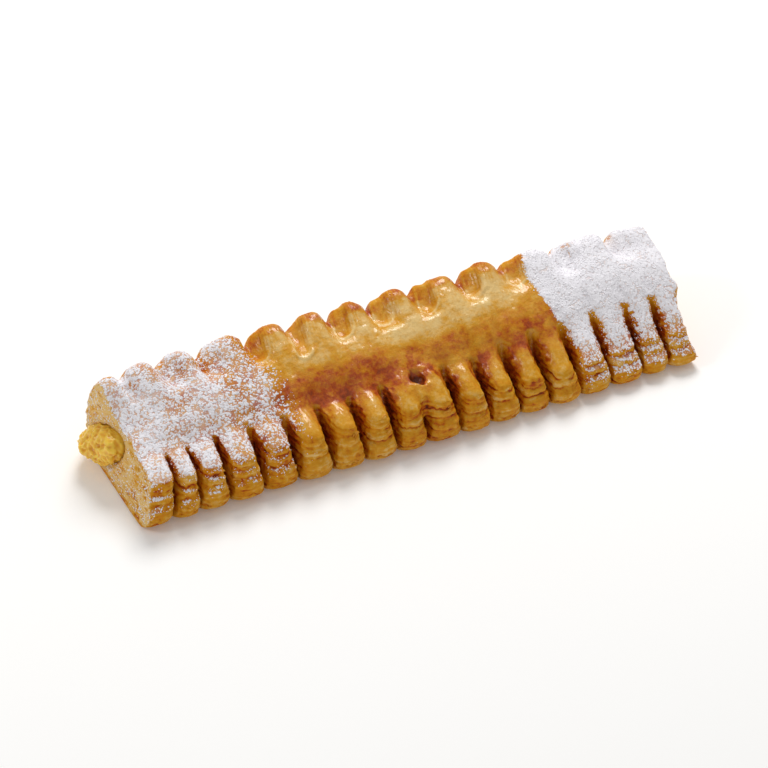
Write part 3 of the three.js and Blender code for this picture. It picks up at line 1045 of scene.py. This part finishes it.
def sugar_of(places, normals, sky_share, look):
    """How thickly icing sugar lies at each place, from 0 to 1."""
    along, across, up = places.T
    left_edge = look.left_reach / MM + 3.0 * cloudy(places, 6.0, 9.0) - 6.0 * ramp(24, 40, across)
    faded = (1 - ramp(left_edge - 8, left_edge + 5, along)) ** 0.5
    left = (SUGAR_LEFT - 0.12 * ramp(5, 55, along)) * faded
    left *= 1 + 0.22 * cloudy(places, 9.0, 101.0)

    right_edge = look.right_start / MM + 2.2 * np.sin(across / 7.0) + 4.0 * (1 - ramp(5, 14, across))
    thick = SUGAR_RIGHT - 0.2 * (1 - ramp(8, 26, across)) - 0.06 * ramp(222, 236, along)
    started = ramp(right_edge - 1.2, right_edge + 1.8, along)
    right = thick * started * (0.72 + 0.28 * ramp(2, 9, across))

    # It lies on what faces up and sees the sky, and thinly on the left cut round the custard
    bare = patches(places, BARE_PATCHES)
    level = ramp(0.25, 0.75, normals[:, 2])
    facing = (SUGAR_ON_STEEP + (1 - SUGAR_ON_STEEP) * level) * ramp(0.35, 0.95, sky_share)
    facing *= ramp(-0.3, 0.1, normals[:, 2])
    round_custard = ramp(0.95, 1.35, from_custard(places))
    on_cut = SUGAR_ON_CUT * left_cut(places, normals) * round_custard * ramp(2.0, 4.0, up)
    return np.maximum(left, right) * np.maximum(facing, on_cut) * (1 - bare)


def glaze_of(places):
    """Where the glaze was brushed on: the middle of the bar, thinner down its teeth."""
    along, across, up = places.T
    middle = ramp(58, 72, along) * (1 - ramp(*GLAZE_RIGHT, along))
    on_top = 0.15 + 0.75 * ramp(3, 12, across + 0.6 * up - 8)
    blotchy = ramp(-0.5, 0.3, cloudy(places, 5.0, 83.0) + 0.5 * cloudy(places, 2.0, 87.0))
    return middle * on_top * (0.35 + 0.65 * blotchy) * (1 - ramp(42, 46, across))


def make_crust():
    look = bpy.context.scene.bakery_crust
    sugar = bpy.context.scene.bakery_sugar
    piece = node_copy("pastry", "puff_pastry")
    back = START.y + SOFT_BEHIND * MM
    roots = START.y + ROOTS_BEHIND * MM

    def soft(co):
        """Behind the teeth, and above their roots, the crust has no sharp edge."""
        return co.z > SOFT_UP * MM and (co.y > back or co.y > roots and co.z > ROOTS_UP * MM)

    reskin(piece, look.skin_step, look.melt, soft, MORE_MELT * look.melt)
    places = along_across(read_points(piece.data))
    deep = (places[:, 0] > SEEN_INSIDE) & (places[:, 0] < BAR_LENGTH - SEEN_INSIDE)
    tunnel = (from_custard(places) < TUNNEL_EDGE) & deep
    base = places[:, 2] < BASE_UP
    emboss(piece.data,
           lambda at, normals: crust_relief(at, normals, look) * ramp(0.0, BASE_FADE, at[:, 2]))
    thin_out(piece, tunnel | base, MOST_TRIANGLES)

    mesh = piece.data
    shade_smooth(mesh)
    points = read_points(mesh)
    normals = read_normals(mesh)
    edges = read_edges(mesh)
    open_share, sky_share = openness(mesh, points, normals, edges)
    hollow_for_shade = hollows(points, normals, edges)
    places = along_across(points)
    write_values(mesh, "bake", bake_of(places, normals, open_share, hollow_for_shade))
    write_values(mesh, "sugar", sugar_of(places, normals, sky_share, sugar))
    write_values(mesh, "glaze", glaze_of(places))
    near = 1 - ramp(TOOTH_DEPTH - 4, TOOTH_DEPTH + 2, places[:, 1])
    cut = ramp(0.6, 0.85, np.abs(normals[:, 0])) * (1 - ramp(*END_FADE, places[:, 0]))
    write_values(mesh, "layers", np.maximum(0.55 * upright(normals) * near, cut))
    write_values(mesh, "stack", stack_height(places) / STACK_FULL)
    mesh.materials.append(crust_material(look, sugar))
    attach(piece, "root")
    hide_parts("pastry")


def custard_relief(places, look):
    """Lumps where the custard stands out of the ends, and its lap over the rim of the crust."""
    along = places[:, 0]
    ridges = 1 - np.abs(cloudy(places, 2.6)) * 2.2
    lumps = 0.9 * ridges + 0.5 * cloudy(places, 1.4, 4.0)
    bulge = 1 - ramp(2.0, 5.0, along) + ramp(BAR_LENGTH, BAR_LENGTH + 1, along)
    lap = 0.8 * MM * (1 - ramp(3.5, 7.0, along)) * ramp(-4.5, -1.0, along)
    return look.lump * bulge * (lumps - 0.4) + lap * (0.7 + 0.6 * cloudy(places, 4.0, 9.0))


def make_custard():
    look = bpy.context.scene.bakery_custard
    piece = node_copy("custard", "custard_filling")
    reskin(piece, look.skin_step, melt=3)
    places = along_across(read_points(piece.data))
    hidden = (places[:, 0] > CUSTARD_SEEN_LEFT) & (places[:, 0] < BAR_LENGTH - CUSTARD_SEEN_RIGHT)
    thin_out(piece, hidden, MOST_TRIANGLES)
    mesh = piece.data
    shade_smooth(mesh)
    emboss(mesh, lambda at, normals: custard_relief(at, look))
    hollow_for_shade = hollows(read_points(mesh), read_normals(mesh), read_edges(mesh))
    # Depth of the hollows, for painted shade in the custard
    write_values(mesh, "hollow_for_shade", YOLK_SHARE + YOLK_SHADE_IN_HOLLOWS * hollow_for_shade)
    mesh.materials.append(custard_material(look))
    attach(piece, "root")
    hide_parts("custard")


def crust_surface():
    """Points, normals and dusting at the vertices of the finished crust."""
    crust = bpy.data.objects.get("puff_pastry")
    if crust is None:
        raise RuntimeError("The crust has to be baked first, because flakes and sugar lie on it")
    mesh = crust.data
    values = np.empty(len(mesh.vertices), dtype=np.float32)
    mesh.attributes["sugar"].data.foreach_get("value", values)
    return read_points(mesh), read_normals(mesh), values


def clump_shape():
    """Points and faces of one clump of sugar, 1 wide."""
    form = bmesh.new()
    bmesh.ops.create_icosphere(form, subdivisions=1, radius=0.5)
    points = np.array([v.co[:] for v in form.verts])
    faces = np.array([[v.index for v in f.verts] for f in form.faces])
    form.free()
    return points, faces


def make_sugar():
    look = bpy.context.scene.bakery_sugar
    points, normals, sugar = crust_surface()
    dice = np.random.default_rng(CLUMP_SEED)
    weights = np.where(sugar > SUGAR_LEAST, sugar, 0.0)
    picks = dice.choice(len(points), look.clumps, p=weights / weights.sum())
    size = look.clump_size * (0.35 + 0.65 * dice.random(look.clumps) ** 2)
    out = normals[picks]
    side = np.cross(out, dice.normal(size=(look.clumps, 3)))
    side /= np.linalg.norm(side, axis=1, keepdims=True)
    ahead = np.cross(out, side)
    stretch = dice.uniform((0.8, 0.7, 0.55), (1.35, 1.1, 0.85), (look.clumps, 3)) * size[:, None]
    slide = dice.uniform(-0.3, 0.3, (look.clumps, 2)) * MM
    middle = points[picks] + side * slide[:, :1] + ahead * slide[:, 1:] + out * (size * 0.1)[:, None]
    shape, faces = clump_shape()
    axes = np.stack((side, ahead, out), axis=1) * stretch[:, :, None]
    verts = middle[:, None, :] + np.einsum("vi,nij->nvj", shape, axes)
    all_faces = faces[None] + (np.arange(look.clumps) * len(shape))[:, None, None]
    piece_mesh = bpy.data.meshes.new("icing_sugar")
    piece_mesh.from_pydata(verts.reshape(-1, 3).tolist(), [], all_faces.reshape(-1, 3).tolist())
    shade_smooth(piece_mesh)
    piece_mesh.materials.append(sugar_material(look))
    piece = new_piece("icing_sugar", piece_mesh)
    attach(piece, "root")


def make_flakes():
    look = bpy.context.scene.bakery_flakes
    points, normals, _ = crust_surface()
    places = along_across(points)
    dice = random.Random(FLAKE_SEED)
    tips = (places[:, 1] < 3) & (normals[:, 1] < -0.6) & (places[:, 2] > 3)
    cut = (places[:, 0] < 6) & (normals[:, 0] < -0.7)
    spots = np.flatnonzero(tips | cut).tolist()
    form = bmesh.new()
    for _ in range(look.count):
        pick = dice.choice(spots)
        length = look.length * (0.35 + 0.65 * dice.random() ** 2)
        width = length * dice.uniform(0.2, 0.35)
        normal = Vector(normals[pick])
        level = Vector((0, 0, 1)).cross(normal).normalized()
        rise = normal.cross(level)
        lean = dice.uniform(0.1, 0.5)
        out = (normal * math.sin(lean) + rise * math.cos(lean)).normalized()
        turned = Matrix((level, out, level.cross(out))).transposed().to_4x4()
        place = Matrix.Translation(Vector(points[pick]) - normal * 0.12 * MM)
        grid = bmesh.ops.create_grid(form, x_segments=5, y_segments=2, size=0.5)
        for vert in grid["verts"]:
            u, v = vert.co.x, vert.co.y
            bend = 0.6 * u * u * width + 0.1 * length * dice.uniform(-1, 1) * (v > 0)
            vert.co = Vector((u * length * (1 - 0.35 * v), (v + 0.35) * width, bend * 0.5))
            vert.co = place @ turned @ vert.co
    piece_mesh = bpy.data.meshes.new("pastry_flakes")
    form.to_mesh(piece_mesh)
    form.free()
    shade_smooth(piece_mesh)
    piece_mesh.materials.append(flake_material(bpy.context.scene.bakery_crust))
    piece = new_piece("pastry_flakes", piece_mesh)
    thick = piece.modifiers.new("sheet", "SOLIDIFY")
    thick.thickness = look.thickness
    settle(piece)
    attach(piece, "root")


def area_lamp(name, place, size, power):
    lamp = bpy.data.lights.new(name, "AREA")
    lamp.shape = "DISK"
    lamp.size = size
    lamp.energy = power
    piece = new_piece(name, lamp)
    piece.location = place
    piece.rotation_euler = (LOOK_AT - Vector(place)).to_track_quat("-Z", "Y").to_euler()


def make_stage():
    look = bpy.context.scene.bakery_stage
    scene = bpy.context.scene
    scene.view_settings.view_transform = "Standard"
    world = bpy.data.worlds.new("white_studio")
    world.use_nodes = True
    background = world.node_tree.nodes["Background"]
    background.inputs["Color"].default_value = (1, 1, 1, 1)
    background.inputs["Strength"].default_value = look.ambient
    scene.world = world

    form = bmesh.new()
    bmesh.ops.create_circle(form, cap_ends=True, segments=64, radius=FLOOR_RADIUS,
                            matrix=Matrix.Translation((0, 0, -FLOOR_DROP * MM)))
    floor_mesh = bpy.data.meshes.new("floor")
    form.to_mesh(floor_mesh)
    form.free()
    paper = new_material("white_paper")
    shader = add_node(paper.node_tree, "ShaderNodeBsdfPrincipled", {
        "Base Color": rgba(linear("#F6F5F3")), "Roughness": 0.9, "Specular IOR Level": 0.1,
        "Emission Color": rgba(linear("#FFFFFF")), "Emission Strength": look.floor_glow,
    })
    floor_mesh.materials.append(finish_material(paper, shader.outputs["BSDF"]))
    floor = new_piece("floor", floor_mesh)

    area_lamp("key_lamp", KEY_PLACE, KEY_WIDE, look.key)
    area_lamp("left_lamp", LEFT_PLACE, LEFT_WIDE, look.key * LEFT_SHARE)

    camera = bpy.data.cameras.new("camera")
    camera.lens = look.lens
    camera.sensor_width = 36
    holder = new_piece("camera", camera)
    ahead = Vector((math.sin(look.turn) * math.cos(look.rise), math.cos(look.turn) * math.cos(look.rise),
                    -math.sin(look.rise)))
    holder.location = LOOK_AT - ahead * look.distance
    holder.rotation_euler = ahead.to_track_quat("-Z", "Y").to_euler()
    scene.camera = holder


class BAKERY_OT_crust(bpy.types.Operator):
    """Makes the baked crust with its blisters, layers, glaze and dusting."""

    bl_idname = "bakery.crust"
    bl_label = "Bake the crust"

    def execute(self, context):
        make_crust()
        return {"FINISHED"}


class BAKERY_OT_custard(bpy.types.Operator):
    """Makes the custard that swells out of the ends."""

    bl_idname = "bakery.custard"
    bl_label = "Fill with custard"

    def execute(self, context):
        make_custard()
        return {"FINISHED"}


class BAKERY_OT_flakes(bpy.types.Operator):
    """Sets loose flakes on the tips and on the cut end."""

    bl_idname = "bakery.flakes"
    bl_label = "Add flakes"

    def execute(self, context):
        make_flakes()
        return {"FINISHED"}


class BAKERY_OT_sugar(bpy.types.Operator):
    """Scatters clumps of icing sugar where the dusting lies."""

    bl_idname = "bakery.sugar"
    bl_label = "Dust with sugar"

    def execute(self, context):
        make_sugar()
        return {"FINISHED"}


class BAKERY_OT_stage(bpy.types.Operator):
    """Sets the floor, the lamps and the camera."""

    bl_idname = "bakery.stage"
    bl_label = "Set the stage"

    def execute(self, context):
        make_stage()
        return {"FINISHED"}


class BAKERY_PT_panel(bpy.types.Panel):
    """Lists the steps of the bar."""

    bl_label = "Filled puff pastry bar"
    bl_idname = "BAKERY_PT_panel"
    bl_space_type = "VIEW_3D"
    bl_region_type = "UI"
    bl_category = "Bakery"

    def draw(self, context):
        for step in STEPS:
            self.layout.operator(step.bl_idname)
        for name in LOOKS:
            look = getattr(context.scene, name)
            box = self.layout.box()
            for prop in look.__annotations__:
                box.prop(look, prop)


STEPS = (BAKERY_OT_stage, BAKERY_OT_crust, BAKERY_OT_custard, BAKERY_OT_flakes, BAKERY_OT_sugar)
LOOKS = {
    "bakery_crust": CrustLook,
    "bakery_custard": CustardLook,
    "bakery_sugar": SugarLook,
    "bakery_flakes": FlakeLook,
    "bakery_stage": StageLook,
}


def register():
    for cls in (*LOOKS.values(), *STEPS, BAKERY_PT_panel):
        bpy.utils.register_class(cls)
    for name, cls in LOOKS.items():
        setattr(bpy.types.Scene, name, PointerProperty(type=cls))


def unregister():
    for name in LOOKS:
        delattr(bpy.types.Scene, name)
    for cls in (BAKERY_PT_panel, *STEPS, *LOOKS.values()):
        bpy.utils.unregister_class(cls)


def main():
    register()
    bpy.ops.bakery.stage()
    bpy.ops.bakery.crust()
    bpy.ops.bakery.custard()
    bpy.ops.bakery.flakes()
    bpy.ops.bakery.sugar()


if __name__ == "__main__":
    main()
